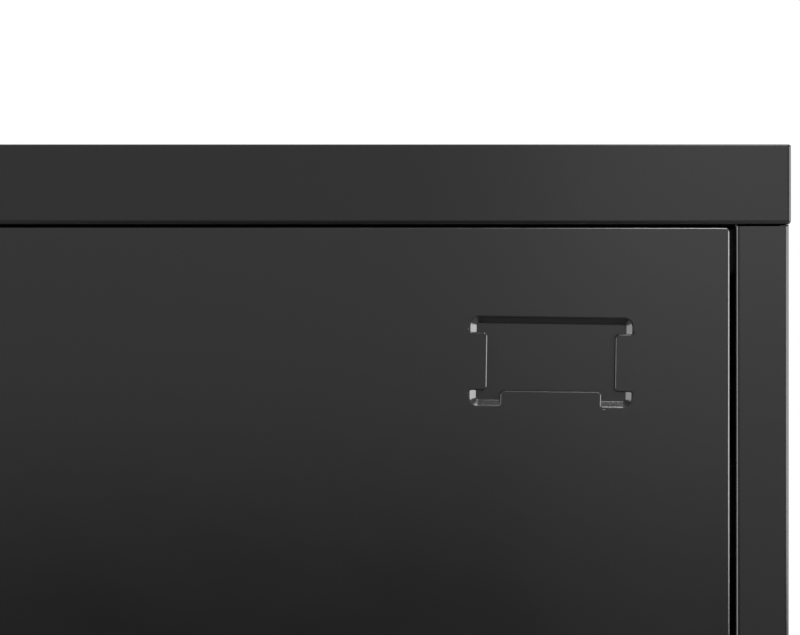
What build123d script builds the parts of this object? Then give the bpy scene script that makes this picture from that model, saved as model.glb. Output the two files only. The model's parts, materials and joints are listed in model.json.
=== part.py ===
from build123d import *

import math
import os

# A tall chest of five drawers, folded from sheet steel. Millimetres, +Z up, the front faces -Y.
# The origin is on the floor, under the middle of the box that holds the whole chest, pulls included.
# A folded cap and an equal folded base hold two side walls, whose front edges are folded into posts.
# Each drawer is a folded pan with a pressed label holder, in front of a folded tray. It runs on two
# full-extension ball-bearing slides, each of three members with a ball cage in either gap.

# ---- overall sizes; the depth follows from the slides
cap_width = 500.0
total_height = 1250.0
slide_length = 350.0
drawer_count = 5

# ---- sheet metal
sheet = 0.8
bend = 0.6  # inside radius of a fold
fold = bend + sheet  # outside radius of a fold
tight_bend = 0.2  # the same two around the faces of the cap and the base
wide_bend = 1.2  # and at their open sides, and all along the side walls
wide_fold = wide_bend + sheet

# ---- cap and base pans
cap_height = 38.5
base_height = 38.5
cap_overhang = 0.9
pan_return = 14.0
pan_corner = 2.0

# ---- side walls
post_width = 25.7
post_depth = 42.0
post_hem = 10.0
rear_return = 16.0
end_flange = 14.0
end_flange_inset = 8.0
post_gap = 0.8  # between a post's face and the cap or the base

# ---- drawer fronts
side_gap = 2.6
top_gap = 1.05
drawer_gap = 3.0
front_depth = 18.0
front_side_rim = 22.0
front_low_rim = 16.0
front_high_rim = 44.0
front_corner = 2.2  # seen from the front

# ---- pressed label holder
label_width = 79.0
label_height = 44.0
label_from_right = 46.5
label_from_top = 43.0
label_depth = 2.2
label_wall = 3.8  # width of the sloping wall
label_slope = 37.0  # the wall's slope in degrees
label_corner = 4.8
ear_reach = 8.7
ear_pocket = 8.1  # from the holder's top edge to an ear
tab_width = 48.5
tab_height = 8.1
ear_corner = 1.9
ear_root = 1.7
ear_edge = 0.7  # rounding of the cut edges
label_lean = 0.8  # degrees clockwise, because the die sits a hair askew

# ---- pull, a ledge with an upturned lip
pull_width = 120.0
pull_sheet = 1.2
pull_reach = 15.0
pull_lip = 9.5
pull_tongue = 14.0
pull_bend = 1.6
pull_corner = 4.0

# ---- trays
tray_overrun = 1.0  # how far the tray reaches behind its slides
tray_clearance = 3.0  # over the rail below
tray_headroom = 37.0  # from the tray's top edge to the front's top edge
tray_hem = 8.0

# ---- rails across the front, behind the gaps between the drawers
rail_height = 24.0
rail_depth = 18.0
bumper_radius = 4.0
bumper_length = 4.0
bumper_round = 0.8
bumper_inset = 41.0

# ---- slides, a section of three nested channels
slide_width = 12.7
slide_half_height = 22.8
slide_lift = 75.0  # slide centre above the tray floor
slide_wall = 1.2
middle_wall = 1.1
cage_sheet = 0.5
ball_radius = 1.35
ball_clearance = 0.25
ball_count = 4  # in each row
cage_length = 150.0
hook_wall = 1.2
hook_length = 8.0
hook_height = 4.0
hook_drop = 4.0
hook_clearance = 0.2
web_slot_length = 18.0
web_slot_height = 5.0
case_slot_shares = (0.3, 0.5, 0.7)  # of the slide's length
drawer_slot_shares = (0.31, 0.69)

# ---- back
bead_width = 9.0
bead_height = 0.7
bead_spacing = 220.0
bead_end = 90.0
upright_width = 34.0
upright_foot = 12.0
slide_to_back = 26.2  # from the slides' rear ends to the back's outer face
upright_overrun = 0.6  # how far the rear upright reaches behind the slides
wall_rail_height = 60.0
wall_rail_sheet = 1.5
wall_rail_drop = 22.0
wall_hole_radius = 4.25
wall_hole_spacing = 320.0

# ---- top stiffener
stiffener_width = 60.0
stiffener_depth = 12.0
stiffener_foot = 12.0
stiffener_inset = 30.0

# ---- feet
foot_height = 22.0
foot_radius = 20.0
foot_top_radius = 18.0
foot_round = 1.5
foot_inset = 36.0
stem_radius = 4.8
stem_clearance = 0.2
stem_head_radius = 6.0
stem_head_height = 2.0
stem_head_round = 1.2
corner_plate = 64.0
corner_plate_sheet = 2.0

# ---- fasteners
screw_radius = 1.75
screw_head_radius = 3.5
screw_head_height = 2.0
screw_head_round = 0.8
recess_length = 3.8  # the cross in a screw's head
recess_width = 0.9
recess_depth = 1.1
screw_stick_out = 2.0
screw_clearance = 0.25
front_screw_shares = (0.2, 0.8)  # of the tray's height
slide_screw_shares = (0.12, 0.5, 0.88)  # of the slide's length
cap_screw_shares = (0.1, 0.45, 0.8)  # of the side wall's depth behind the post
cap_screw_inset = 8.4
rivet_radius = 2.0
rivet_head_radius = 4.0
rivet_head_height = 0.8
rivet_head_round = 0.56
rivet_tail_radius = 3.2
rivet_count = 5  # down each side of the back

# ---- places that follow from the sizes above
body_depth = front_depth + bumper_length + slide_length + slide_to_back
half_body = cap_width / 2 - cap_overhang
post_face = half_body - post_width  # x of the post's inner face
front_y = (pull_reach - body_depth - cap_overhang) / 2
back_y = front_y + body_depth
base_top = foot_height + base_height
cap_bottom = total_height - cap_height
front_width = 2 * (post_face - side_gap)
drawer_space = cap_bottom - base_top - top_gap
front_height = drawer_space / drawer_count - drawer_gap
tray_half = post_face - slide_width
tray_y = front_y + front_depth
tray_depth = bumper_length + slide_length + tray_overrun
tray_lift = (rail_height - drawer_gap) / 2 + tray_clearance  # tray floor above its front's bottom
tray_height = front_height - tray_lift - tray_headroom
rail_y = tray_y + bumper_length
slide_y = rail_y
upright_y = slide_y + slide_length + upright_overrun - upright_width


def block(x, y, z):
    """A block between two limits on each axis."""
    size = [abs(b - a) for a, b in (x, y, z)]
    middle = [(a + b) / 2 for a, b in (x, y, z)]
    return Pos(*middle) * Box(*size)


def rod(start, direction, radius, length):
    """A round rod that starts at a point and runs in a direction."""
    place = Plane(origin=start, z_dir=direction)
    return place * Cylinder(radius, length, align=(Align.CENTER, Align.CENTER, Align.MIN))


def strip_section(points, side, thickness=sheet, inside=bend):
    """The section of a folded strip: its line runs through points, and the sheet lies on one side of it,
    1 for the left and -1 for the right. Every fold is square."""
    steps = [(Vector(*b) - Vector(*a)).normalized() for a, b in zip(points, points[1:])]
    normals = [Vector(-step.Y, step.X) * side * thickness for step in steps]
    shifts = [normals[0]] + [a + b for a, b in zip(normals, normals[1:])] + [normals[-1]]
    far_points = [Vector(*point) + shift for point, shift in zip(points, shifts)]
    outside = [side * a.cross(b).Z > 0 for a, b in zip(steps, steps[1:])]
    near = FilletPolyline(*points, radius=[inside + thickness if out else inside for out in outside])
    far = FilletPolyline(*far_points, radius=[inside if out else inside + thickness for out in outside])
    return make_face(near + Line(near @ 1, far @ 1) + far + Line(far @ 0, near @ 0))


def along_y(section, start, end):
    """A section drawn in x and z, run from one y to another."""
    return Pos(0, end, 0) * extrude(Plane.XZ * section, end - start)


def along_x(section, start, end):
    """A section drawn in y and z, run from one x to another."""
    return Pos(start, 0, 0) * extrude(Plane.YZ * section, end - start)


def along_z(section, start, end):
    """A section drawn in x and y, run from one z to another."""
    return Pos(0, 0, start) * extrude(section, end - start)


def both_sides(part):
    """The part and its mirror image across the middle of the chest."""
    return [part, mirror(part, about=Plane.YZ)]


def rounded_box(width, height, depth, corner, top_radius, bottom_radius):
    """A box with one radius on its upright edges, one around its top and one around its bottom."""
    box = Box(width, height, depth)
    box = fillet(box.edges().filter_by(Axis.Z), corner)
    box = fillet(box.edges().group_by(Axis.Z)[-1], top_radius)
    return fillet(box.edges().group_by(Axis.Z)[0], bottom_radius)


def pan(width, height, depth, corner, face_bend, rear_bend, rim_x, rim_low, rim_high):
    """A folded pan: its face is on top, at z 0, and its sides end in returns around an open window."""
    outer = rounded_box(width, height, depth, corner, face_bend + sheet, rear_bend + sheet)
    inner = rounded_box(width - 2 * sheet, height - 2 * sheet, depth - 2 * sheet, corner - sheet,
                        face_bend, rear_bend)
    window = Box(width - 2 * rim_x, height - rim_low - rim_high, 4 * sheet)
    window = Pos(0, (rim_low - rim_high) / 2, -depth / 2) * window
    return Pos(0, 0, -depth / 2) * (outer - inner - window)


def screw(start, direction, grip):
    """A cross-recess pan-head screw: its head sits on start, and its shank goes through the grip."""
    away = Vector(*direction) * -1
    head = rod(start, away, screw_head_radius, screw_head_height)
    rims = head.edges().filter_by(GeomType.CIRCLE).sort_by(Axis(start, tuple(away)))
    top = Plane(origin=start, z_dir=away).offset(screw_head_height)
    arm = Box(recess_length, recess_width, 2 * recess_depth)
    shank = rod(start, direction, screw_radius, grip + screw_stick_out)
    return fillet(rims[-1:], screw_head_round) - top * (arm + Rot(Z=90) * arm) + shank


def screw_hole(start, direction, length):
    """The hole that a screw passes through."""
    return rod(start, direction, screw_radius + screw_clearance, length)


# ---------------------------------------------------------------- label holder

def label_centre():
    """The holder's centre on a front whose face is centred on the origin."""
    x = front_width / 2 - label_from_right - label_width / 2
    y = front_height / 2 - label_from_top - label_height / 2
    return x, y


def label_holds(point):
    """Whether a point of the front lies within the label holder's outline."""
    x, y = label_centre()
    across = abs(point.X - x) - label_width / 2
    along = abs(point.Y - y) - label_height / 2
    return max(across, along) < label_wall


def label_wall_section():
    """The sloping wall in section: a level lip, an arc, a straight slope, and an arc out to the floor."""
    turn = math.radians(label_slope)
    radius = (label_wall * math.tan(turn) - label_depth) / (2 / math.cos(turn) - 2)
    upper = (0, -sheet / 2 - radius)
    lower = (label_wall, radius - sheet / 2 - label_depth)
    front = [CenterArc(upper, radius + sheet / 2, 90, -label_slope),
             CenterArc(lower, radius - sheet / 2, 270 - label_slope, label_slope)]
    rear = [CenterArc(upper, radius - sheet / 2, 90, -label_slope),
            CenterArc(lower, radius + sheet / 2, 270 - label_slope, label_slope)]
    slopes = [Line(over @ 1, under @ 0) for over, under in (front, rear)]
    lip = Polyline((0, 0), (-2 * ear_edge, 0), (-2 * ear_edge, -sheet), (0, -sheet))
    end = Line((label_wall, -label_depth), (label_wall, -label_depth - sheet))
    return make_face(Curve() + front + rear + slopes + lip + end)


def label_pressing():
    """The whole dished rectangle of the label holder, before its ears are cut."""
    section = label_wall_section()
    half_w = label_width / 2
    half_h = label_height / 2
    solid = None
    for turn, half_run, reach in ((0, half_h, half_w), (90, half_w, half_h),
                                  (180, half_h, half_w), (270, half_w, half_h)):
        run = half_run - label_corner
        wall = Plane(origin=(-reach, run, 0), x_dir=(1, 0, 0), z_dir=(0, -1, 0)) * section
        piece = extrude(wall, 2 * run)
        corner_x = label_corner - reach
        corner = revolve(wall, Axis((corner_x, run, 0), (0, 0, 1)), revolution_arc=-90)
        piece = Rot(Z=turn) * (piece + corner)
        solid = piece if solid is None else solid + piece
    floor_sketch = RectangleRounded(label_width - 2 * label_wall, label_height - 2 * label_wall,
                                    label_corner - label_wall)
    floor = Pos(0, 0, -label_depth - sheet) * extrude(floor_sketch, sheet)
    return solid + floor


def label_opening():
    """The outline of what is pressed down: the holder less its two side ears and its bottom tab."""
    half_w = label_width / 2
    half_h = label_height / 2
    half_ear = half_h - ear_pocket
    half_tab = tab_width / 2
    opening = RectangleRounded(label_width, label_height, label_corner)
    for x in (-half_w, half_w):
        opening = opening - Pos(x, 0) * Rectangle(2 * ear_reach, 2 * half_ear)
    opening = opening - Pos(0, -half_h) * Rectangle(tab_width, 2 * tab_height)
    tips = [(half_w - ear_reach, half_ear), (half_w - ear_reach, -half_ear), (half_tab, tab_height - half_h)]
    roots = [(half_w, half_ear), (half_w, -half_ear), (half_tab, -half_h)]
    for places, radius in ((tips, ear_corner), (roots, ear_root)):
        corners = [corner for corner in opening.vertices()
                   if any(math.dist((abs(corner.X), corner.Y), place) < ear_edge for place in places)]
        opening = fillet(corners, radius)
    return opening


def ear_sides():
    """The bands outside the holder's outline that run beside the ears and the tab."""
    ear_band = Rectangle(label_wall, label_height - 2 * ear_pocket + 2 * ear_root)
    tab_band = Rectangle(tab_width + 2 * ear_root, label_wall)
    ends = [Pos(side * (label_width + label_wall) / 2, 0) * ear_band for side in (-1, 1)]
    return ends + [Pos(0, -(label_height + label_wall) / 2) * tab_band]


# ---------------------------------------------------------------- drawers

def drawer_front():
    """The drawer's front pan with its pressed label holder, face centred on the origin, facing +Z."""
    front = pan(front_width, front_height, front_depth, front_corner, bend, bend,
                front_side_rim, front_low_rim, front_high_rim)
    centre = Pos(*label_centre()) * Rot(Z=-label_lean)
    opening = label_opening()
    front = front - centre * Pos(0, 0, -2 * sheet) * extrude(opening, 3 * sheet)
    rim = [edge for edge in front.edges().group_by(Axis.Z)[-1]
           if label_holds(edge.center())]
    front = fillet(rim, ear_edge)
    outline = RectangleRounded(label_width, label_height, label_corner)
    pressing = label_pressing()
    for level in [outline - opening] + ear_sides():
        pressing = pressing - Pos(0, 0, -2 * label_depth) * extrude(level, 3 * label_depth)
    return front + centre * pressing


def front_screw_places(bottom):
    """Where the four screws hold a front to its tray."""
    x = (tray_half + front_width / 2 - front_side_rim) / 2
    heights = [bottom + tray_lift + tray_height * share for share in front_screw_shares]
    return [(side * x, tray_y, z) for side in (-1, 1) for z in heights]


def slide_screw_places(bottom):
    """Where the three screws on each side hold a tray to its slides, on the left side of the chest."""
    z = slide_height(bottom)
    return [(-tray_half, slide_y + slide_length * share, z) for share in slide_screw_shares]


def slide_height(bottom):
    """The height of a drawer's slides over the floor."""
    return bottom + tray_lift + slide_lift


def front_at(bottom):
    """A front on its drawer, with its four screw holes."""
    front = Pos(0, front_y, bottom + front_height / 2) * Rot(X=90) * drawer_front()
    for x, y, z in front_screw_places(bottom):
        front = front - screw_hole((x, y + sheet, z), (0, -1, 0), 4 * sheet)
    return front


def tray_at(bottom):
    """A drawer's tray: floor, sides with turned-in top edges, front wall and back wall."""
    low = bottom + tray_lift
    high = low + tray_height
    hem_x = tray_half - tray_hem
    outline = [(-hem_x, high), (-tray_half, high), (-tray_half, low),
               (tray_half, low), (tray_half, high), (hem_x, high)]
    end = tray_y + tray_depth
    tray = along_y(strip_section(outline, 1), tray_y, end)
    wall = make_face(FilletPolyline(*outline[1:5], radius=fold, close=True))
    tray = tray + along_y(wall, tray_y, tray_y + sheet) + along_y(wall, end - sheet, end)
    for x, y, z in front_screw_places(bottom):
        tray = tray - screw_hole((x, y + 2 * sheet, z), (0, -1, 0), 4 * sheet)
    for x, y, z in slide_screw_places(bottom):
        for hole in both_sides(screw_hole((x - sheet, y, z), (1, 0, 0), 4 * sheet)):
            tray = tray - hole
    return tray


def pull_at(bottom):
    """A drawer's pull: a ledge under the front, with a lip turned up in front of it."""
    lip_y = front_y - pull_reach + pull_sheet
    line = [(front_y + pull_tongue, bottom), (lip_y, bottom), (lip_y, bottom + pull_lip)]
    section = strip_section(line, 1, pull_sheet, pull_bend)
    pull = along_x(section, -pull_width / 2, pull_width / 2)
    tips = pull.edges().filter_by(Axis.Y).group_by(Axis.Z)[-1]
    tips = [edge for edge in tips if abs(abs(edge.center().X) - pull_width / 2) < sheet / 2]
    pull = fillet(tips, pull_corner)
    tongue = pull.edges().filter_by(Axis.Z).group_by(Axis.Y)[-1]
    return fillet(tongue, pull_corner)


def drawer_screws_at(bottom):
    """The screws that go with a drawer: four at its front and six at its slides."""
    screws = [screw((x, y + sheet, z), (0, -1, 0), 2 * sheet) for x, y, z in front_screw_places(bottom)]
    for x, y, z in slide_screw_places(bottom):
        screws += both_sides(screw((x - middle_wall, y, z), (1, 0, 0), middle_wall + sheet))
    return screws


# ---------------------------------------------------------------- slides

outer_floor = slide_half_height - slide_wall
outer_row = outer_floor - ball_clearance - ball_radius  # height of the outer rows of balls
middle_half = outer_row - ball_radius - ball_clearance
inner_row = middle_half - middle_wall - ball_clearance - ball_radius
inner_half = inner_row - ball_radius - ball_clearance
outer_cage_u = slide_wall + ball_clearance
middle_u = outer_cage_u + cage_sheet + ball_clearance
inner_cage_u = middle_u + middle_wall + ball_clearance
inner_u = inner_cage_u + cage_sheet + 2 * ball_clearance
outer_reach = slide_width - slide_wall - 2 * ball_clearance
middle_reach = outer_reach - slide_wall - ball_clearance
outer_ball_u = (middle_u + middle_reach) / 2
inner_ball_u = (inner_u + middle_reach) / 2


def channel_section(web, tip, half_height, wall):
    """A channel in section: its web at one distance from the post and its flanges reaching to another.
    Distances are measured from the left post's inner face towards the middle of the chest."""
    inwards = 1 if tip > web else -1
    outer = Pos(-post_face + (web + tip) / 2, 0) * Rectangle(abs(tip - web), 2 * half_height)
    hollow = Rectangle(abs(tip - web), 2 * (half_height - wall))
    return outer - Pos(-post_face + (web + tip) / 2 + inwards * wall, 0) * hollow


def hook_places():
    """How far behind a slide's front end its two hooks sit: one in the post, one in the upright."""
    rear = upright_y + upright_width / 2 - slide_y
    front = (post_depth - (slide_y - front_y)) / 2
    return [front, rear]


def web_slots(shares):
    """The slots that are punched through a slide member's web."""
    slot = SlotOverall(web_slot_length, web_slot_height)
    slots = Part()
    for share in shares:
        place = Plane(origin=(-post_face - sheet, slide_y + slide_length * share, 0),
                      x_dir=(0, 1, 0), z_dir=(1, 0, 0))
        slots = slots + extrude(place * slot, slide_width + 2 * sheet)
    return slots


def case_member():
    """The slide member that hangs in the case: a channel with a lip on each flange and two hooks."""
    section = channel_section(0, outer_reach, slide_half_height, slide_wall)
    lip = Rectangle(slide_wall, 2 * slide_wall)
    for side in (-1, 1):
        section = section + Pos(-post_face + outer_reach - slide_wall / 2, side * outer_floor) * lip
    member = along_y(section, slide_y, slide_y + slide_length)
    back_of_sheet = -post_face - sheet
    for place in hook_places():
        y = (slide_y + place - hook_length / 2, slide_y + place + hook_length / 2)
        neck = (back_of_sheet - hook_clearance - hook_wall, -post_face)
        lip_x = (back_of_sheet - hook_clearance - hook_wall, back_of_sheet - hook_clearance)
        member = member + block(neck, y, (-hook_height / 2, hook_height / 2))
        member = member + block(lip_x, y, (-hook_height / 2 - hook_drop, hook_height / 2))
    return member - web_slots(case_slot_shares)


def middle_member():
    """The slide member between the other two."""
    section = channel_section(middle_u, middle_reach, middle_half, middle_wall)
    return along_y(section, slide_y, slide_y + slide_length)


def drawer_member():
    """The slide member that is screwed to the tray."""
    section = channel_section(slide_width, inner_u, inner_half, middle_wall)
    member = along_y(section, slide_y, slide_y + slide_length)
    for x, y, _ in slide_screw_places(-tray_lift - slide_lift):
        member = member - screw_hole((x - 2 * slide_wall, y, 0), (1, 0, 0), 4 * slide_wall)
    return member - web_slots(drawer_slot_shares)


def cage(web, row, ball_u, tip):
    """A ball cage: a thin channel whose flanges carry a row of balls each. Returns the cage and balls."""
    start = slide_y + (slide_length - cage_length) / 2
    half_height = row + cage_sheet / 2
    strip = along_y(channel_section(web, tip, half_height, cage_sheet), start, start + cage_length)
    pitch = cage_length / ball_count
    balls = []
    for number in range(ball_count):
        y = start + pitch * (number + 0.5)
        x = -post_face + ball_u
        hole = rod((x, y, -slide_half_height), (0, 0, 1), ball_radius + ball_clearance / 2,
                   2 * slide_half_height)
        strip = strip - hole
        balls += [Pos(x, y, side * row) * Sphere(ball_radius) for side in (-1, 1)]
    return [strip] + balls


def outer_cage():
    """The cage between the case member and the middle member."""
    return cage(outer_cage_u, outer_row, outer_ball_u, middle_reach)


def inner_cage():
    """The cage between the middle member and the drawer member."""
    return cage(inner_cage_u, inner_row, inner_ball_u, middle_reach)


# ---------------------------------------------------------------- case

def drawer_bottoms():
    """The bottom of each drawer front, from the top drawer down."""
    pitch = front_height + drawer_gap
    top = cap_bottom - top_gap - front_height
    return [top - pitch * number for number in range(drawer_count)]


def rail_centres():
    """The heights of the rails: one under the cap, then one behind each gap between two drawers."""
    gaps = [bottom - drawer_gap / 2 for bottom in drawer_bottoms()[:-1]]
    return [cap_bottom - rail_height / 2] + gaps


def cap_screw_places():
    """Where screws hold the cap and the base to the end flanges, on the right side of the chest."""
    span = body_depth - post_depth
    return [(half_body - cap_screw_inset, front_y + post_depth + span * share)
            for share in cap_screw_shares]


def end_pan(face_height, height):
    """A pan that closes one end of the chest, face up, without its screw holes."""
    depth = body_depth + 2 * cap_overhang
    closed = pan(cap_width, depth, height, pan_corner, tight_bend, wide_bend,
                 pan_return, pan_return, pan_return)
    return Pos(0, front_y + body_depth / 2, face_height) * closed


def cap():
    """The top of the chest: its returns rest on the side walls' flanges."""
    top = end_pan(total_height, cap_height)
    for x, y in cap_screw_places():
        for hole in both_sides(screw_hole((x, y, cap_bottom - sheet), (0, 0, 1), 4 * sheet)):
            top = top - hole
    return top


def base():
    """The bottom of the chest: its face carries the side walls, and its returns the corner plates."""
    bottom = end_pan(base_top, base_height)
    for x, y in cap_screw_places():
        for hole in both_sides(screw_hole((x, y, base_top + sheet), (0, 0, -1), 4 * sheet)):
            bottom = bottom - hole
    return bottom


def stiffener():
    """A hat-shaped strip that is welded under the cap's face, from side to side."""
    top = total_height - sheet
    middle = front_y + body_depth / 2
    inner = stiffener_width / 2
    outer = inner + stiffener_foot
    line = [(middle - outer, top - sheet), (middle - inner, top - sheet),
            (middle - inner, top - stiffener_depth), (middle + inner, top - stiffener_depth),
            (middle + inner, top - sheet), (middle + outer, top - sheet)]
    half_length = cap_width / 2 - stiffener_inset
    return along_x(strip_section(line, 1), -half_length, half_length)


def side_wall():
    """The right side wall: post, wall and rear return from one sheet, with a flange at either end."""
    rear = back_y - sheet
    post_rear = front_y + post_depth
    line = [(post_face + post_hem, post_rear), (post_face, post_rear), (post_face, front_y),
            (half_body, front_y), (half_body, rear), (half_body - rear_return, rear)]
    section = strip_section(line, 1, inside=wide_bend)
    wall = along_z(section, base_top, cap_bottom)
    flange_x = (half_body - sheet - end_flange, half_body - sheet)
    flange_y = (front_y + post_depth + end_flange_inset, rear - rear_return)
    face_y = (front_y, front_y + wide_fold)
    for end, inwards in ((cap_bottom, -1), (base_top, 1)):
        wall = wall + block(flange_x, flange_y, (end, end + inwards * sheet))
        wall = wall - block((post_face, half_body), face_y, (end, end + inwards * post_gap))
    for x, y in cap_screw_places():
        wall = wall - screw_hole((x, y, cap_bottom - 2 * sheet), (0, 0, 1), 4 * sheet)
        wall = wall - screw_hole((x, y, base_top + 2 * sheet), (0, 0, -1), 4 * sheet)
    for x, y, z in rivet_places():
        wall = wall - rod((x, y, z), (0, -1, 0), rivet_radius + screw_clearance, 4 * sheet)
    return wall - hook_slots(hook_places()[0])


def hook_slots(place):
    """The slots that a column of slide hooks hangs in, on the right side of the chest."""
    margin = hook_clearance
    y = (slide_y + place - hook_length / 2 - margin, slide_y + place + hook_length / 2 + margin)
    slots = Part()
    for bottom in drawer_bottoms():
        z = slide_height(bottom)
        height = (z - hook_height / 2 - margin, z + hook_height / 2 + hook_drop + margin)
        slots = slots + block((post_face - sheet, post_face + 2 * sheet), y, height)
    return slots


def upright():
    """The hat-shaped rear upright on the right side wall, which carries the rear ends of the slides."""
    wall_face = half_body - sheet
    front = upright_y
    rear = upright_y + upright_width
    line = [(wall_face - sheet, front - upright_foot), (wall_face - sheet, front), (post_face, front),
            (post_face, rear), (wall_face - sheet, rear), (wall_face - sheet, rear + upright_foot)]
    hat = along_z(strip_section(line, -1), base_top + sheet, cap_bottom - sheet)
    return hat - hook_slots(hook_places()[1])


def rail_at(centre):
    """A channel from post to post, closed side to the front."""
    low = centre - rail_height / 2
    high = centre + rail_height / 2
    line = [(rail_y + rail_depth, low), (rail_y, low), (rail_y, high), (rail_y + rail_depth, high)]
    return along_x(strip_section(line, -1), -post_face, post_face)


def bumpers():
    """Two rubber bumpers for each drawer, on the rail above it."""
    drop = (rail_height - drawer_gap) / 4  # the middle of what a rail and a front overlap
    x = front_width / 2 - bumper_inset
    heights = [bottom + front_height - drop for bottom in drawer_bottoms()]
    pad = rod((0, rail_y, 0), (0, -1, 0), bumper_radius, bumper_length)
    pad = fillet(pad.edges().filter_by(GeomType.CIRCLE).sort_by(Axis.Y)[:1], bumper_round)
    return [Pos(side * x, 0, z) * pad for z in heights for side in (-1, 1)]


def rivet_places():
    """The rivets down the right edge of the back sheet."""
    x = half_body - rear_return / 2
    span = cap_bottom - base_top
    return [(x, back_y, base_top + span * (number + 0.5) / rivet_count) for number in range(rivet_count)]


def rivet(start):
    """A rivet from behind the back sheet, with a low domed head."""
    x, y, z = start
    head = rod(start, (0, 1, 0), rivet_head_radius, rivet_head_height)
    head = fillet(head.edges().filter_by(GeomType.CIRCLE).sort_by(Axis.Y)[-1:], rivet_head_round)
    tail = rod((x, y - 2 * sheet, z), (0, -1, 0), rivet_tail_radius, sheet)
    return head + rod(start, (0, -1, 0), rivet_radius, 2 * sheet) + tail


def wall_holes(rear, length):
    """The two holes through which a wall screw fixes the chest."""
    z = cap_bottom - wall_rail_drop - wall_rail_height / 2
    return both_sides(rod((wall_hole_spacing / 2, rear, z), (0, -1, 0), wall_hole_radius, length))


def back_sheet():
    """The flat back, with upright beads pressed outwards to stiffen it."""
    back = block((-half_body, half_body), (back_y - sheet, back_y), (base_top, cap_bottom))
    low = base_top + bead_end
    high = cap_bottom - bead_end - wall_rail_height
    for x in (-bead_spacing / 2, bead_spacing / 2):
        for width, lift, sign in ((bead_width, 0, 1), (bead_width - 2 * sheet, -sheet, -1)):
            half = width / 2
            crown = bead_height + lift
            line = Polyline((x - half, back_y + lift), (x - half + bead_height, back_y + crown),
                            (x + half - bead_height, back_y + crown), (x + half, back_y + lift),
                            close=True)
            bead = along_z(make_face(line), low, high)
            back = back + bead if sign > 0 else back - bead
    for hole in wall_holes(back_y + sheet, 4 * sheet):
        back = back - hole
    for x, y, z in rivet_places():
        for hole in both_sides(rod((x, y + sheet, z), (0, -1, 0), rivet_radius + screw_clearance,
                                   4 * sheet)):
            back = back - hole
    return back


def wall_rail():
    """A flat bar inside the back, which takes the wall screws."""
    rear = back_y - 2 * sheet
    high = cap_bottom - wall_rail_drop
    bar = block((wide_fold - half_body, half_body - wide_fold), (rear - wall_rail_sheet, rear),
                (high - wall_rail_height, high))
    for hole in wall_holes(rear + sheet, 4 * sheet):
        bar = bar - hole
    return bar


def foot_places():
    """The centres of the four feet."""
    x = cap_width / 2 - foot_inset
    front = front_y - cap_overhang + foot_inset
    rear = back_y + cap_overhang - foot_inset
    return [(side * x, y) for side in (-1, 1) for y in (front, rear)]


def corner_plates():
    """The plates in the base's corners that hold the feet."""
    low = foot_height + sheet
    middle = front_y + body_depth / 2
    plates = []
    for x, y in foot_places():
        edge_x = math.copysign(cap_width / 2 - wide_fold, x)
        edge_y = middle + math.copysign(body_depth / 2 + cap_overhang - wide_fold, y - middle)
        far_x = edge_x - math.copysign(corner_plate, x)
        far_y = edge_y - math.copysign(corner_plate, y - middle)
        plate = block((edge_x, far_x), (edge_y, far_y), (low, low + corner_plate_sheet))
        plate = fillet(plate.edges().filter_by(Axis.Z), 2 * bend)
        hole = rod((x, y, low - sheet), (0, 0, 1), stem_radius + stem_clearance, 4 * corner_plate_sheet)
        plates.append(plate - hole)
    return plates


def foot_at(x, y):
    """A moulded foot: a tapered pad with a stem that is pushed through the corner plate."""
    low = foot_height + sheet
    top = low + corner_plate_sheet
    pad = Pos(x, y, low / 2) * Cone(foot_radius, foot_top_radius, low)
    pad = fillet(pad.edges().filter_by(GeomType.CIRCLE).sort_by(Axis.Z)[:1], foot_round)
    stem = rod((x, y, low), (0, 0, 1), stem_radius, corner_plate_sheet + stem_head_height)
    head = rod((x, y, top), (0, 0, 1), stem_head_radius, stem_head_height)
    head = fillet(head.edges().filter_by(GeomType.CIRCLE).sort_by(Axis.Z)[-1:], stem_head_round)
    return pad + stem + head


def case_fasteners():
    """The screws of the cap and the base, and the rivets of the back."""
    pieces = []
    for x, y in cap_screw_places():
        pieces += both_sides(screw((x, y, cap_bottom - sheet), (0, 0, 1), 2 * sheet))
        pieces += both_sides(screw((x, y, base_top + sheet), (0, 0, -1), 2 * sheet))
    for place in rivet_places():
        pieces += both_sides(rivet(place))
    return pieces


# ---------------------------------------------------------------- nodes

def save(name, pieces):
    """Writes one node's solids to its STEP file."""
    solids = [solid for piece in pieces for solid in piece.solids()]
    export_step(solids[0] if len(solids) == 1 else Compound(solids), f"parts/{name}.step")


def raised(pieces, height):
    """Slide pieces, made at height 0 on the left, at their height on both sides of the chest."""
    return [half for piece in pieces for half in both_sides(Pos(0, 0, height) * piece)]


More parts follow.
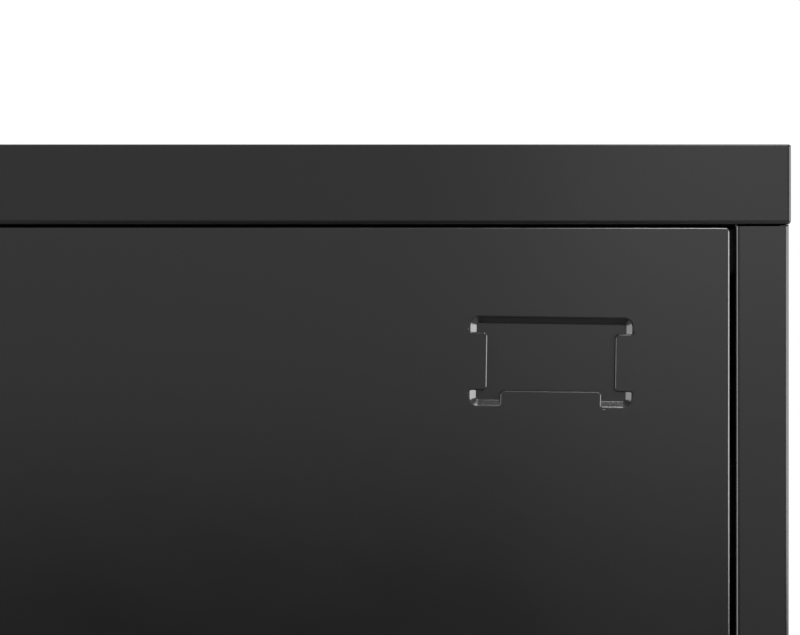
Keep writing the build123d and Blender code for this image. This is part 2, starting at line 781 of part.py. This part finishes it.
def main():
    os.makedirs("parts", exist_ok=True)
    right_wall = side_wall()
    right_upright = upright()
    save("top_cap", [cap()])
    save("top_stiffener", [stiffener()])
    save("base_pan", [base()])
    save("right_side", [right_wall])
    save("left_side", [mirror(right_wall, about=Plane.YZ)])
    save("right_upright", [right_upright])
    save("left_upright", [mirror(right_upright, about=Plane.YZ)])
    save("back_sheet", [back_sheet()])
    save("wall_rail", [wall_rail()])
    save("front_rails", [rail_at(centre) for centre in rail_centres()])
    save("drawer_bumpers", bumpers())
    save("corner_plates", corner_plates())
    save("feet", [foot_at(x, y) for x, y in foot_places()])
    save("case_fasteners", case_fasteners())

    bottoms = drawer_bottoms()
    first = bottoms[0]
    per_drawer = {
        "drawer_front": [front_at(first)],
        "drawer_tray": [tray_at(first)],
        "drawer_pull": [pull_at(first)],
        "drawer_screws": drawer_screws_at(first),
        "slide_case_members": raised([case_member()], slide_height(first)),
        "slide_middle_members": raised([middle_member()], slide_height(first)),
        "slide_drawer_members": raised([drawer_member()], slide_height(first)),
        "slide_outer_cages": raised(outer_cage(), slide_height(first)),
        "slide_inner_cages": raised(inner_cage(), slide_height(first)),
    }
    for number, bottom in enumerate(bottoms, start=1):
        for name, pieces in per_drawer.items():
            save(f"{name}_{number}", [Pos(0, 0, bottom - first) * piece for piece in pieces])


if __name__ == "__main__":
    main()
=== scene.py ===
"""A tall chest of five drawers, folded from powder-coated sheet steel, in a plain pale studio."""

import json
import math

import bmesh
import bpy
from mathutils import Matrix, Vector


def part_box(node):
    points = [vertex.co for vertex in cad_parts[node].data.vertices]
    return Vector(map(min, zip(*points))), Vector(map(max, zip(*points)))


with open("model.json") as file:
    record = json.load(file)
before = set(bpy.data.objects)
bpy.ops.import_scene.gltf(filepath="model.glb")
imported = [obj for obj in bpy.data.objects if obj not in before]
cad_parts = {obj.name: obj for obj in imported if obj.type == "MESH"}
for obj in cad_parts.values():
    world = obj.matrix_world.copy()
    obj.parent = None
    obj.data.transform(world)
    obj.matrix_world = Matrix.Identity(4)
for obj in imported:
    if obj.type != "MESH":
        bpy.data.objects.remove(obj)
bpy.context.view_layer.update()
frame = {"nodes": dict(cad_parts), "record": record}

MM = 0.001
SLIDES = [name for name in frame["nodes"] if name.startswith("slide_")]
SIDES = ["left_side", "right_side"]
ALL_BUT_SIDES = [name for name in frame["nodes"] if name not in SIDES]
ALL_BUT_FRONTS = [name for name in frame["nodes"] if not name.startswith("drawer_front")]


# ---------------------------------------------------------------- sizes and levels

# The camera looks square at the top right corner of the chest's front. Its view begins to the left of
# the cap's right end, and above the cap, by these lengths.
VIEW_WIDTH = 384 * MM
VIEW_LEFT_OF_CAP_END = 379.8 * MM
VIEW_ABOVE_CAP = 69.3 * MM
PICTURE = (800, 635)
LENS = 100.0
SENSOR = 36.0

# How strongly the room lights the chest, where white paper in a room of strength 1 looks white.
ROOM_LIGHT = 0.15

# How bright each part of the room is where gloss mirrors it. Behind the chest it is white.
BEHIND_SEEN = 1.0
FRONT_SEEN = 0.645
LEFT_SEEN = 0.3
LOW_SEEN = 0.0
DEEP_SEEN = 0.7

# Where each part begins and where it has its full level, as a direction's share along one axis: y for
# the front, x for the left, z for the low band under the horizon and the deep one under that.
FRONT_STARTS, FRONT_ENDS = 0.1, -0.4
LEFT_STARTS, LEFT_ENDS = -0.3, -0.45
LOW_STARTS, LOW_ENDS = math.sin(math.radians(-4.2)), math.sin(math.radians(-5.2))
DEEP_STARTS, DEEP_ENDS = math.sin(math.radians(-17)), math.sin(math.radians(-23))

# The floor is a round sheet under the chest. The camera sees it fade to white between two distances
# from its middle, in metres.
FLOOR_RADIUS = 2.4
FLOOR_CORNERS = 96
FADE_STARTS, FADE_ENDS = 0.45, 1.75

# How brightly the floor in front of the chest glows where gloss mirrors it, a painted reflection in
# place of its lit paper: near the chest, further ahead and aside. Then where each part begins and
# has its full level: y for the first two, and the distance from the middle line for the third, in
# metres.
NEAR_SEEN = 0.17
AHEAD_SEEN = 0.02
ASIDE_SEEN = 0.8
NEAR_STARTS, NEAR_ENDS = -0.25, -0.45
AHEAD_STARTS, AHEAD_ENDS = -0.6, -0.8
ASIDE_STARTS, ASIDE_ENDS = 0.35, 0.6

# Soft boxes face a point on the top drawer's front. At full strength they would whiten the cap's top,
# the side walls' edges and the zinc slides, so some of them leave those pieces out. Where two boxes
# share a direction, one stands a few centimetres further away, because gloss mirrors only one of two
# boxes at the same distance.
FRONT_FOCUS = Vector((60 * MM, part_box("drawer_front_1")[0].y, 1170 * MM))
SOFTBOXES = [
    # name, degrees to the right, degrees up, metres away, width, height, radiance, pieces left out
    ("key", 31, 49, 1.35, 0.45, 0.6, 5.2, []),
    ("key_below_cap", 31, 49, 1.38, 0.46, 0.61, 10.8, ["top_cap"]),
    ("right", 54, 0, 1.5, 0.6, 0.57, 6.5, ["top_cap", *SLIDES]),
    ("right_on_fronts", 52, 0, 1.53, 0.5, 0.57, 6.5, ["top_cap", *SIDES, *SLIDES]),
    ("far_right", 83, -1, 1.5, 0.95, 0.6, 4.5, SLIDES),
    ("far_right_on_fronts", 83, -1, 1.53, 0.97, 0.61, 4.4, ALL_BUT_FRONTS),
    ("ahead", 15, 1, 2.6, 0.85, 1.4, 0.24, []),
    ("ahead_high", 15, 8.7, 2.6, 0.85, 0.66, 0.34, []),
    ("ahead_low_on_posts", 13.4, -12.5, 2.66, 0.5, 0.52, 0.25, ALL_BUT_SIDES),
    ("left", -70, -8, 1.5, 1.2, 1.0, 0.5, []),
    ("left_on_paint", -70, -8, 1.53, 1.22, 1.02, 4.4, SLIDES),
]


# ---------------------------------------------------------------- nodes

def linear(hex_colour):
    """An sRGB hex colour as linear red, green, blue and alpha."""
    parts = [int(hex_colour[i:i + 2], 16) / 255 for i in (1, 3, 5)]
    return (*[p / 12.92 if p <= 0.04045 else ((p + 0.055) / 1.055) ** 2.4 for p in parts], 1.0)


def wire(tree, node, settings=None, links=None):
    """Gives a node its settings, which are sockets or properties, and links its sockets to outputs."""
    for name, value in (settings or {}).items():
        if isinstance(name, str) and name not in node.inputs:
            setattr(node, name, value)
        else:
            node.inputs[name].default_value = value
    for name, output in (links or {}).items():
        tree.links.new(output, node.inputs[name])
    return node


def add(tree, kind, settings=None, links=None):
    """Adds a node with its settings and links."""
    return wire(tree, tree.nodes.new(kind), settings, links)


def new_material(name):
    """A material, and its tree, shader and the object's own coordinates, which are in metres."""
    material = bpy.data.materials.new(name)
    material.use_nodes = True
    tree = material.node_tree
    place = add(tree, "ShaderNodeTexCoord").outputs["Object"]
    return material, tree, tree.nodes["Principled BSDF"], place


# ---------------------------------------------------------------- finishes

def powder_coat():
    """Polyester powder coat, sprayed on sheet steel and baked to a smooth semi-gloss near-black film.

    The film levels to a faint orange peel, cells about 3 mm across and under a hundredth of a
    millimetre deep. The sheet under it is not quite flat, and waves by up to 0.03 mm over 14 mm or
    so. Both mottle what it reflects. Its colour is even, with a trace of cloudiness.
    """
    material, tree, shader, place = new_material("powder_coat")
    cloud = add(tree, "ShaderNodeTexNoise", {"Scale": 1 / (40 * MM), "Detail": 2.0}, {"Vector": place})
    colour = add(tree, "ShaderNodeMix",
                 {"data_type": "RGBA", 6: linear("#121212"), 7: linear("#151515")},
                 {0: cloud.outputs["Fac"]})
    rough = add(tree, "ShaderNodeMapRange", {"To Min": 0.18, "To Max": 0.22},
                {"Value": cloud.outputs["Fac"]})
    waves = add(tree, "ShaderNodeTexNoise", {"Scale": 1 / (14 * MM), "Detail": 1.0}, {"Vector": place})
    sheet = add(tree, "ShaderNodeBump", {"Distance": 0.03 * MM}, {"Height": waves.outputs["Fac"]})
    peel = add(tree, "ShaderNodeTexNoise", {"Scale": 1 / (3 * MM), "Detail": 1.0}, {"Vector": place})
    relief = add(tree, "ShaderNodeBump", {"Distance": 0.008 * MM},
                 {"Height": peel.outputs["Fac"], "Normal": sheet.outputs[0]})
    wire(tree, shader, {"IOR": 1.55},
         {"Base Color": colour.outputs[2], "Roughness": rough.outputs[0], "Normal": relief.outputs[0]})
    return material


def zinc_plate():
    """Bright zinc plate on cold-rolled steel strip, roll-formed into drawer slides.

    Faint silver-grey lines run along the strip from the rolls, with soft cloudy patches of the
    bath. The lines are 0.6 mm apart, coarser than the real ones, so that they show. The strip is
    plated before it is cut, so its cut ends, which face forwards or back, are bare steel. They are
    painted dark, a painted shade that keeps the slides' ends dark in the gaps beside the drawer fronts.
    """
    material, tree, shader, place = new_material("zinc_plate")
    along = add(tree, "ShaderNodeMapping", {"Scale": (1 / (0.6 * MM), 1 / (40 * MM), 1 / (0.6 * MM))},
                {"Vector": place})
    lines = add(tree, "ShaderNodeTexNoise", {"Scale": 1.0, "Detail": 2.0}, {"Vector": along.outputs[0]})
    bath = add(tree, "ShaderNodeTexNoise", {"Scale": 1 / (9 * MM), "Detail": 3.0}, {"Vector": place})
    plate = add(tree, "ShaderNodeMix",
                {"data_type": "RGBA", 6: linear("#b9bcc0"), 7: linear("#cfd0d0")},
                {0: bath.outputs["Fac"]})
    facing = add(tree, "ShaderNodeTexCoord")
    side = add(tree, "ShaderNodeSeparateXYZ", links={0: facing.outputs["Normal"]})
    lengthwise = add(tree, "ShaderNodeMath", {"operation": "ABSOLUTE"}, {0: side.outputs["Y"]})
    # The faces along the strip, its cut ends, get a dark painted shade, so that the slides stay dark in
    # the gaps beside the drawer fronts.
    painted_shade_ends = add(tree, "ShaderNodeMapRange", {"From Min": 0.9, "From Max": 0.95},
                  {"Value": lengthwise.outputs[0]})
    colour = add(tree, "ShaderNodeMix", {"data_type": "RGBA", 7: linear("#343230")},
                 {0: painted_shade_ends.outputs[0], 6: plate.outputs[2]})
    rough = add(tree, "ShaderNodeMapRange", {"To Min": 0.22, "To Max": 0.46},
                {"Value": lines.outputs["Fac"]})
    relief = add(tree, "ShaderNodeBump", {"Distance": 0.004 * MM}, {"Height": lines.outputs["Fac"]})
    wire(tree, shader, {"Metallic": 1.0},
         {"Base Color": colour.outputs[2], "Roughness": rough.outputs[0], "Normal": relief.outputs[0]})
    return material


def passivated_zinc():
    """Zinc plate with a clear blue passivate, barrel-plated on screws, rivets and corner plates.

    Tumbling in the barrel leaves it a little blue and softly dulled, with specks under a millimetre.
    """
    material, tree, shader, place = new_material("passivated_zinc")
    film = add(tree, "ShaderNodeTexNoise", {"Scale": 1 / (5 * MM), "Detail": 2.0}, {"Vector": place})
    colour = add(tree, "ShaderNodeMix",
                 {"data_type": "RGBA", 6: linear("#b4bac4"), 7: linear("#cacccd")},
                 {0: film.outputs["Fac"]})
    specks = add(tree, "ShaderNodeTexNoise", {"Scale": 1 / (0.8 * MM), "Detail": 2.0}, {"Vector": place})
    rough = add(tree, "ShaderNodeMapRange", {"To Min": 0.24, "To Max": 0.42},
                {"Value": specks.outputs["Fac"]})
    relief = add(tree, "ShaderNodeBump", {"Distance": 0.006 * MM}, {"Height": specks.outputs["Fac"]})
    wire(tree, shader, {"Metallic": 1.0},
         {"Base Color": colour.outputs[2], "Roughness": rough.outputs[0], "Normal": relief.outputs[0]})
    return material


def ball_steel():
    """Chrome steel balls in a pressed steel cage, both polished and wiped with oil.

    They are the brightest metal here, with a thin uneven film of oil that dulls them in patches.
    """
    material, tree, shader, place = new_material("ball_steel")
    oil = add(tree, "ShaderNodeTexNoise", {"Scale": 1 / (4 * MM), "Detail": 3.0}, {"Vector": place})
    colour = add(tree, "ShaderNodeMix",
                 {"data_type": "RGBA", 6: linear("#a9a8a4"), 7: linear("#c2c2c0")},
                 {0: oil.outputs["Fac"]})
    rough = add(tree, "ShaderNodeMapRange", {"To Min": 0.1, "To Max": 0.3},
                {"Value": oil.outputs["Fac"]})
    wire(tree, shader, {"Metallic": 1.0},
         {"Base Color": colour.outputs[2], "Roughness": rough.outputs[0]})
    return material


def rubber():
    """Black natural rubber, compression moulded, for the drawer bumpers.

    It is matt, with a fine grain and a dusty bloom in patches.
    """
    material, tree, shader, place = new_material("rubber")
    bloom = add(tree, "ShaderNodeTexNoise", {"Scale": 1 / (3 * MM), "Detail": 3.0}, {"Vector": place})
    colour = add(tree, "ShaderNodeMix",
                 {"data_type": "RGBA", 6: linear("#121212"), 7: linear("#232221")},
                 {0: bloom.outputs["Fac"]})
    rough = add(tree, "ShaderNodeMapRange", {"To Min": 0.68, "To Max": 0.85},
                {"Value": bloom.outputs["Fac"]})
    grain = add(tree, "ShaderNodeTexNoise", {"Scale": 1 / (0.4 * MM), "Detail": 2.0}, {"Vector": place})
    relief = add(tree, "ShaderNodeBump", {"Distance": 0.03 * MM}, {"Height": grain.outputs["Fac"]})
    wire(tree, shader, {"IOR": 1.52},
         {"Base Color": colour.outputs[2], "Roughness": rough.outputs[0], "Normal": relief.outputs[0]})
    return material


def moulded_nylon():
    """Black nylon, injection moulded in a spark-eroded tool, for the feet.

    The tool leaves an even satin grain of half-millimetre pits.
    """
    material, tree, shader, place = new_material("moulded_nylon")
    flow = add(tree, "ShaderNodeTexNoise", {"Scale": 1 / (12 * MM), "Detail": 2.0}, {"Vector": place})
    colour = add(tree, "ShaderNodeMix",
                 {"data_type": "RGBA", 6: linear("#141415"), 7: linear("#1c1c1d")},
                 {0: flow.outputs["Fac"]})
    pits = add(tree, "ShaderNodeTexVoronoi", {"Scale": 1 / (0.5 * MM)}, {"Vector": place})
    rough = add(tree, "ShaderNodeMapRange", {"To Min": 0.45, "To Max": 0.6},
                {"Value": pits.outputs["Distance"]})
    relief = add(tree, "ShaderNodeBump", {"Distance": 0.03 * MM}, {"Height": pits.outputs["Distance"]})
    wire(tree, shader, {"IOR": 1.53},
         {"Base Color": colour.outputs[2], "Roughness": rough.outputs[0], "Normal": relief.outputs[0]})
    return material


def finish_pieces():
    """Gives each piece the finish of its slot in the record, and the small plated pieces their own."""
    finishes = {"powder_coat": powder_coat(), "zinc_plate": zinc_plate(), "bearing_steel": ball_steel(),
                "rubber": rubber(), "moulded_nylon": moulded_nylon()}
    small_zinc = passivated_zinc()
    slots = {row["node"]: row["material_slot"] for row in frame["record"]["subparts"]}
    for name, piece in frame["nodes"].items():
        small = name.startswith("drawer_screws") or name in ("case_fasteners", "corner_plates")
        piece.data.materials.clear()
        piece.data.materials.append(small_zinc if small else finishes[slots[name]])


# ---------------------------------------------------------------- studio

def room():
    """The room lights the chest softly, and the camera sees it white.

    Gloss mirrors it white behind and dimmer in front. There it is dimmer still to the left, dark just
    under the horizon and paler again further down.
    """
    world = bpy.data.worlds.new("room")
    bpy.context.scene.world = world
    world.use_nodes = True
    tree = world.node_tree
    way = add(tree, "ShaderNodeTexCoord")
    part = add(tree, "ShaderNodeSeparateXYZ", links={0: way.outputs["Generated"]})
    front = add(tree, "ShaderNodeMapRange",
                {"From Min": LEFT_STARTS, "From Max": LEFT_ENDS,
                 "To Min": FRONT_SEEN, "To Max": LEFT_SEEN},
                {"Value": part.outputs["X"]})
    low = add(tree, "ShaderNodeMapRange",
              {"From Min": LOW_STARTS, "From Max": LOW_ENDS, "To Max": LOW_SEEN},
              {"Value": part.outputs["Z"], "To Min": front.outputs[0]})
    deep = add(tree, "ShaderNodeMapRange",
               {"From Min": DEEP_STARTS, "From Max": DEEP_ENDS, "To Max": DEEP_SEEN},
               {"Value": part.outputs["Z"], "To Min": low.outputs[0]})
    around = add(tree, "ShaderNodeMapRange",
                 {"From Min": FRONT_STARTS, "From Max": FRONT_ENDS, "To Min": BEHIND_SEEN},
                 {"Value": part.outputs["Y"], "To Max": deep.outputs[0]})
    ray = add(tree, "ShaderNodeLightPath")
    level = add(tree, "ShaderNodeMath", {"operation": "MAXIMUM"},
                {0: ray.outputs["Is Camera Ray"], 1: around.outputs[0]})
    mirrored = add(tree, "ShaderNodeMath", {"operation": "MAXIMUM"},
                   {0: ray.outputs["Is Glossy Ray"], 1: ray.outputs["Is Transmission Ray"]})
    seen = add(tree, "ShaderNodeMath", {"operation": "MAXIMUM"},
               {0: ray.outputs["Is Camera Ray"], 1: mirrored.outputs[0]})
    strength = add(tree, "ShaderNodeMix", {"data_type": "FLOAT", 2: ROOM_LIGHT},
                   {0: seen.outputs[0], 3: level.outputs[0]})
    wire(tree, tree.nodes["Background"], {"Color": linear("#ffffff")}, {"Strength": strength.outputs[0]})


def backdrop_paper():
    """Seamless backdrop paper: uncoated, matt and off-white, with a faint mottle of fibres.

    The camera sees it fade into the white room. In front of the chest gloss mirrors a glow in
    its place, a painted reflection that is low, darkest straight ahead and pale to the sides.
    """
    material, tree, shader, place = new_material("backdrop_paper")
    fibre = add(tree, "ShaderNodeTexNoise", {"Scale": 1 / (6 * MM), "Detail": 4.0}, {"Vector": place})
    colour = add(tree, "ShaderNodeMix",
                 {"data_type": "RGBA", 6: linear("#dbdbd9"), 7: linear("#e0e0de")},
                 {0: fibre.outputs["Fac"]})
    wire(tree, shader, {"Roughness": 0.9, "IOR": 1.45}, {"Base Color": colour.outputs[2]})

    ray = add(tree, "ShaderNodeLightPath")
    middle = add(tree, "ShaderNodeVectorMath", {"operation": "LENGTH"}, {0: place})
    edge = add(tree, "ShaderNodeMapRange",
               {"interpolation_type": "SMOOTHSTEP", "From Min": FADE_STARTS, "From Max": FADE_ENDS},
               {"Value": middle.outputs["Value"]})
    faded = add(tree, "ShaderNodeMath", {"operation": "MULTIPLY"},
                {0: edge.outputs[0], 1: ray.outputs["Is Camera Ray"]})
    white = add(tree, "ShaderNodeEmission", {"Strength": 1.0})
    paper = add(tree, "ShaderNodeMixShader",
                links={0: faded.outputs[0], 1: shader.outputs[0], 2: white.outputs[0]})

    # In front of the chest gloss sees a glow instead of the lit paper: a painted reflection, low near
    # the chest, lowest ahead and pale to the sides.
    along = add(tree, "ShaderNodeSeparateXYZ", links={0: place})
    front = add(tree, "ShaderNodeMapRange", {"From Min": NEAR_STARTS, "From Max": NEAR_ENDS},
                {"Value": along.outputs["Y"]})
    painted_reflection_share = add(tree, "ShaderNodeMath", {"operation": "MULTIPLY"},
                 {0: front.outputs[0], 1: ray.outputs["Is Glossy Ray"]})
    ahead = add(tree, "ShaderNodeMapRange",
                {"From Min": AHEAD_STARTS, "From Max": AHEAD_ENDS,
                 "To Min": NEAR_SEEN, "To Max": AHEAD_SEEN},
                {"Value": along.outputs["Y"]})
    aside = add(tree, "ShaderNodeMath", {"operation": "ABSOLUTE"}, {0: along.outputs["X"]})
    level = add(tree, "ShaderNodeMapRange",
                {"From Min": ASIDE_STARTS, "From Max": ASIDE_ENDS, "To Max": ASIDE_SEEN},
                {"Value": aside.outputs[0], "To Min": ahead.outputs[0]})
    painted_reflection = add(tree, "ShaderNodeEmission", links={"Strength": level.outputs[0]})
    surface = add(tree, "ShaderNodeMixShader",
                  links={0: painted_reflection_share.outputs[0], 1: paper.outputs[0], 2: painted_reflection.outputs[0]})
    wire(tree, tree.nodes["Material Output"], links={"Surface": surface.outputs[0]})
    return material


def floor():
    """A round sheet of backdrop paper, laid flat under the chest, which takes its shadow."""
    mesh = bpy.data.meshes.new("floor")
    shape = bmesh.new()
    bmesh.ops.create_circle(shape, cap_ends=True, segments=FLOOR_CORNERS, radius=FLOOR_RADIUS)
    shape.to_mesh(mesh)
    shape.free()
    mesh.materials.append(backdrop_paper())
    disc = bpy.data.objects.new("floor", mesh)
    bpy.context.scene.collection.objects.link(disc)


def softbox(name, right, up, away, width, height, radiance, left_out):
    """A rectangular soft light that faces the focus, placed by its direction from there in degrees.

    The pieces that it leaves out get no light and no glare from it.
    """
    light = bpy.data.lights.new(name, "AREA")
    light.shape = "RECTANGLE"
    light.size = width
    light.size_y = height
    light.energy = radiance * math.pi * width * height
    azimuth, elevation = math.radians(right), math.radians(up)
    towards = Vector((math.sin(azimuth) * math.cos(elevation),
                      -math.cos(azimuth) * math.cos(elevation),
                      math.sin(elevation)))
    lamp = bpy.data.objects.new(name, light)
    lamp.location = FRONT_FOCUS + towards * away
    lamp.rotation_euler = towards.to_track_quat("Z", "Y").to_euler()
    bpy.context.scene.collection.objects.link(lamp)
    if left_out:
        unlit = bpy.data.collections.new(name + "_leaves_out")
        lamp.light_linking.receiver_collection = unlit
        for node in left_out:
            unlit.objects.link(frame["nodes"][node])
        for member in unlit.collection_objects:
            member.light_linking.link_state = "EXCLUDE"


def camera():
    """A long lens, level and square to the chest's front, placed by where its view begins."""
    cap_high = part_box("top_cap")[1]
    view_height = VIEW_WIDTH * PICTURE[1] / PICTURE[0]
    x = cap_high.x - VIEW_LEFT_OF_CAP_END + VIEW_WIDTH / 2
    z = cap_high.z + VIEW_ABOVE_CAP - view_height / 2
    data = bpy.data.cameras.new("camera")
    data.lens = LENS
    data.sensor_width = SENSOR
    eye = bpy.data.objects.new("camera", data)
    eye.location = (x, FRONT_FOCUS.y - VIEW_WIDTH * LENS / SENSOR, z)
    eye.rotation_euler = (math.radians(90), 0, 0)
    bpy.context.scene.collection.objects.link(eye)
    bpy.context.scene.camera = eye


finish_pieces()
room()
camera()
floor()
for row in SOFTBOXES:
    softbox(*row)
bpy.context.scene.view_settings.view_transform = "Standard"
